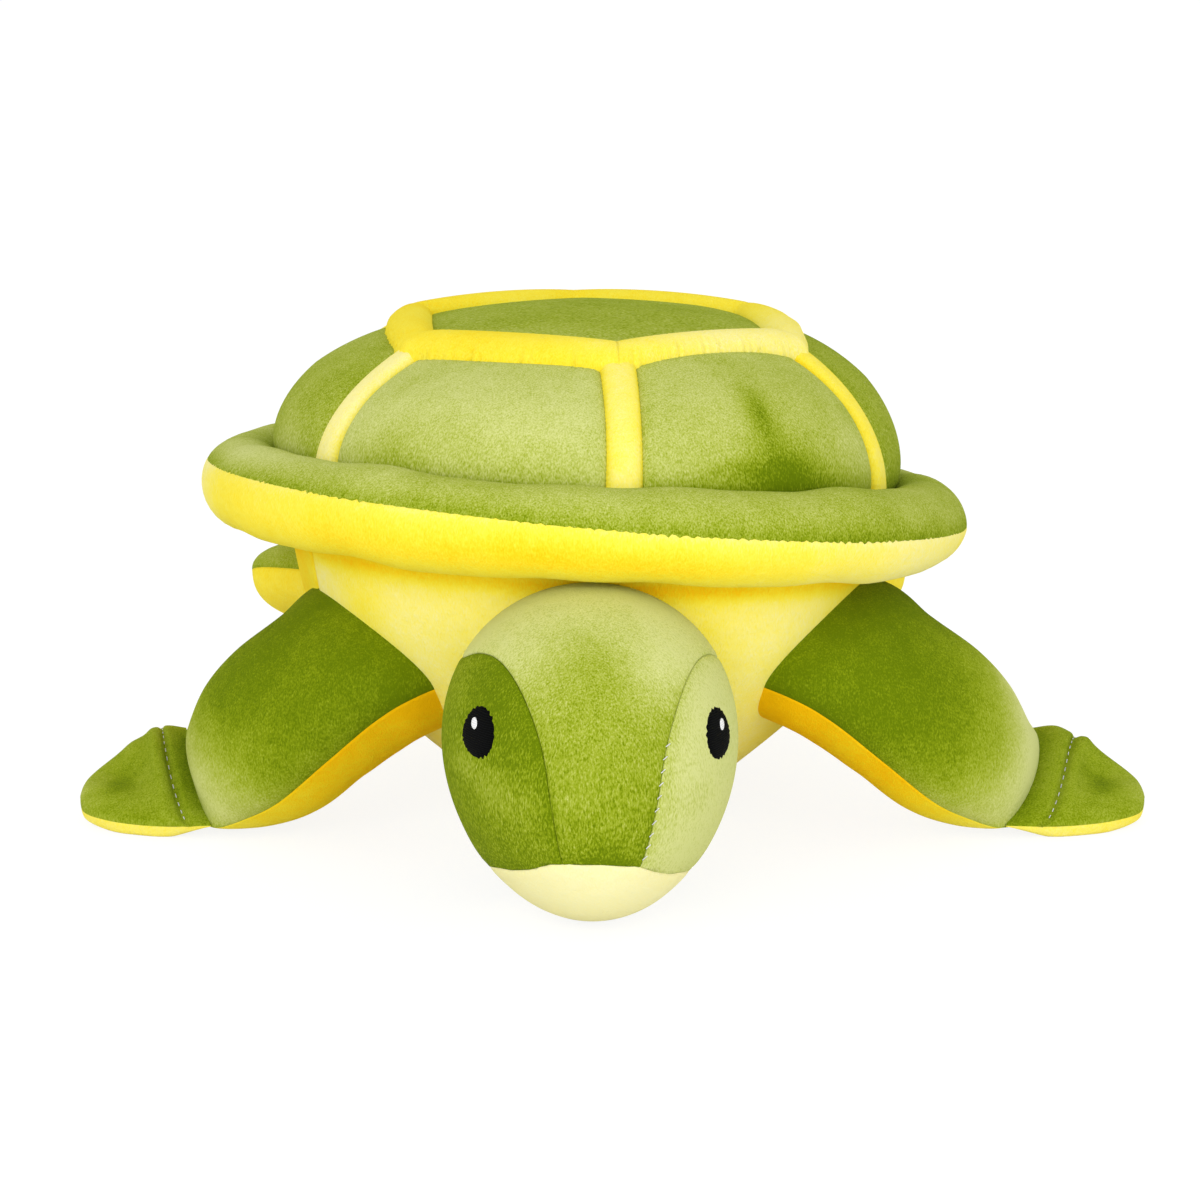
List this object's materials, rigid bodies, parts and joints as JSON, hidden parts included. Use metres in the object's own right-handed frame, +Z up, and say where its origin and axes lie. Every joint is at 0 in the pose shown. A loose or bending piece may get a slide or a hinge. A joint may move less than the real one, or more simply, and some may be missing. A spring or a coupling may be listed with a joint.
{
  "type": "plush turtle",
  "caption": "Stuffed plush turtle with a domed panelled shell, a padded rim, a turning head and flippers that lift on their seams.",
  "frame": {"origin": "middle of the flat belly, on the table", "axes": "-Y is where the head looks, +Z is up, and +X is to the right in the picture. Node names say left and right as seen in the picture"},
  "size_m": [0.4179, 0.384, 0.1937],
  "materials": {
    "green_plush": "short pile, brushed",
    "yellow_plush": "short pile, brushed",
    "pale_yellow_plush": "short pile, brushed",
    "white_fibre": "loose fibre",
    "black_thread": "satin stitch",
    "white_thread": "satin stitch"
  },
  "bodies": {
    "torso": {"shell_side_panel_1": "green_plush", "shell_rib_1": "yellow_plush", "shell_side_panel_2": "green_plush", "shell_rib_2": "yellow_plush", "shell_side_panel_3": "green_plush", "shell_rib_3": "yellow_plush", "shell_side_panel_4": "green_plush", "shell_rib_4": "yellow_plush", "shell_side_panel_5": "green_plush", "shell_rib_5": "yellow_plush", "shell_side_panel_6": "green_plush", "shell_rib_6": "yellow_plush", "shell_top_hexagon": "green_plush", "hexagon_band": "yellow_plush", "shell_filling": "white_fibre", "brim_upper": "green_plush", "brim_lower": "yellow_plush", "brim_filling": "white_fibre", "body_front_panel": "yellow_plush", "body_right_panel": "yellow_plush", "body_back_panel": "yellow_plush", "body_left_panel": "yellow_plush", "belly_panel": "yellow_plush", "body_filling": "white_fibre"},
    "head": {"head_gusset": "green_plush", "head_left_panel": "green_plush", "head_right_panel": "green_plush", "chin_panel": "pale_yellow_plush", "head_filling": "white_fibre", "eye_left": "black_thread", "eye_right": "black_thread", "eye_highlight_left": "white_thread", "eye_highlight_right": "white_thread"},
    "front_flipper_left": {"front_flipper_left_upper": "green_plush", "front_flipper_left_lower": "yellow_plush", "front_flipper_left_filling": "white_fibre"},
    "flipper_tip_left": {"flipper_tip_left_upper": "green_plush", "flipper_tip_left_lower": "yellow_plush", "flipper_tip_left_filling": "white_fibre"},
    "rear_flipper_left": {"rear_flipper_left_upper": "green_plush", "rear_flipper_left_lower": "yellow_plush", "rear_flipper_left_filling": "white_fibre"},
    "front_flipper_right": {"front_flipper_right_upper": "green_plush", "front_flipper_right_lower": "yellow_plush", "front_flipper_right_filling": "white_fibre"},
    "flipper_tip_right": {"flipper_tip_right_upper": "green_plush", "flipper_tip_right_lower": "yellow_plush", "flipper_tip_right_filling": "white_fibre"},
    "rear_flipper_right": {"rear_flipper_right_upper": "green_plush", "rear_flipper_right_lower": "yellow_plush", "rear_flipper_right_filling": "white_fibre"}
  },
  "joints": [
    {"name": "head_turn", "type": "hinge", "parent": "torso", "child": "head", "pos_m": [-0.002, -0.116, 0.0588], "axis": [0, 0, 1], "range_deg": [-10, 10]},
    {"name": "front_flipper_left_lift", "type": "hinge", "parent": "torso", "child": "front_flipper_left", "pos_m": [-0.09348, -0.07464, 0.09301], "axis": [-0.4873, 0.8286, 0.2755], "range_deg": [0, 18]},
    {"name": "flipper_tip_left_fold", "type": "hinge", "parent": "front_flipper_left", "child": "flipper_tip_left", "pos_m": [-0.1563, -0.03846, 0.01507], "axis": [-0.2315, 0.9144, 0.332], "range_deg": [-15, 15], "stiffness_Nm_per_rad": 0.02},
    {"name": "rear_flipper_left_lift", "type": "hinge", "parent": "torso", "child": "rear_flipper_left", "pos_m": [-0.10178, 0.09882, 0.07788], "axis": [0.6802, 0.7247, -0.1105], "range_deg": [0, 15]},
    {"name": "front_flipper_right_lift", "type": "hinge", "parent": "torso", "child": "front_flipper_right", "pos_m": [0.09852, -0.07466, 0.09307], "axis": [-0.5091, -0.8167, -0.2716], "range_deg": [0, 18]},
    {"name": "flipper_tip_right_fold", "type": "hinge", "parent": "front_flipper_right", "child": "flipper_tip_right", "pos_m": [0.1656, -0.03846, 0.01507], "axis": [-0.2445, -0.9114, -0.3309], "range_deg": [-15, 15], "stiffness_Nm_per_rad": 0.02},
    {"name": "rear_flipper_right_lift", "type": "hinge", "parent": "torso", "child": "rear_flipper_right", "pos_m": [0.09118, 0.09881, 0.07787], "axis": [0.6385, -0.7609, 0.116], "range_deg": [0, 15]}
  ]
}
